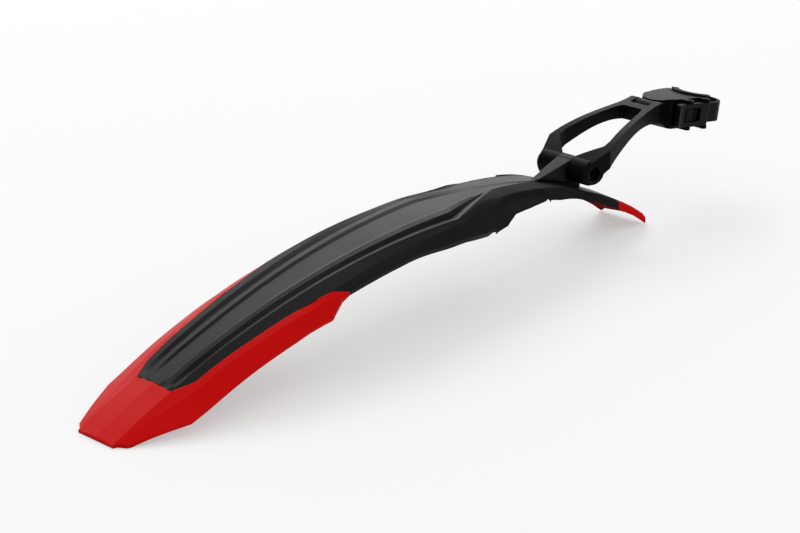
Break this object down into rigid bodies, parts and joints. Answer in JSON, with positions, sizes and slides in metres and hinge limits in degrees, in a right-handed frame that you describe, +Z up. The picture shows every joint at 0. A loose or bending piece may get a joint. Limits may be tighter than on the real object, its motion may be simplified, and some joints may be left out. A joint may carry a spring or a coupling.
{
  "type": "bicycle mudguard",
  "caption": "Clip-on rear bicycle mudguard: long ribbed blade with soft coloured ends, on a forked arm that hinges at both ends, with a seat-post clamp closed by a toothed strap and lever buckle.",
  "frame": {"origin": "on the floor, under the middle of the overall box", "axes": "+X towards the clamp and the front of the bicycle, +Y to the left, +Z up as it lies in the picture"},
  "size_m": [0.6408, 0.0874, 0.0901],
  "materials": {
    "blade": "fine-grained moulded polypropylene",
    "flap": "satin soft plastic",
    "arm": "fine-grained moulded nylon",
    "bolt": "black oxide",
    "pad": "matt",
    "strap": "satin flexible plastic",
    "pin": "black oxide"
  },
  "bodies": {
    "blade": {"blade": "blade", "rear_flap": "flap", "front_flap": "flap"},
    "arm": {"arm": "arm", "rear_pivot_bolt": "bolt", "rear_pivot_nut": "bolt", "front_pivot_bolt": "bolt", "front_pivot_nut": "bolt"},
    "clamp": {"clamp_body": "arm", "saddle_pad": "pad", "strap": "strap", "strap_anchor_pin": "pin", "lever_pin": "pin", "pawl_pin": "pin"},
    "lever": {"buckle_lever": "arm"},
    "pawl": {"pawl": "arm"}
  },
  "joints": [
    {"name": "rear_pivot", "type": "hinge", "parent": "blade", "child": "arm", "pos_m": [0.13757, 0, 0.0595], "axis": [0, -1, 0], "range_deg": [-30, 100]},
    {"name": "front_pivot", "type": "hinge", "parent": "arm", "child": "clamp", "pos_m": [0.23307, 0, 0.0818], "axis": [0, -1, 0], "range_deg": [-50, 20]},
    {"name": "lever_hinge", "type": "hinge", "parent": "clamp", "child": "lever", "pos_m": [0.28231, -0.0212, 0.07312], "axis": [0.1736, 0, 0.9848], "range_deg": [0, 75]},
    {"name": "pawl_hinge", "type": "hinge", "parent": "clamp", "child": "pawl", "pos_m": [0.25966, -0.0212, 0.07711], "axis": [-0.1736, 0, -0.9848], "range_deg": [0, 12], "stiffness_Nm_per_rad": 0.01, "springref_deg": -9.74}
  ]
}
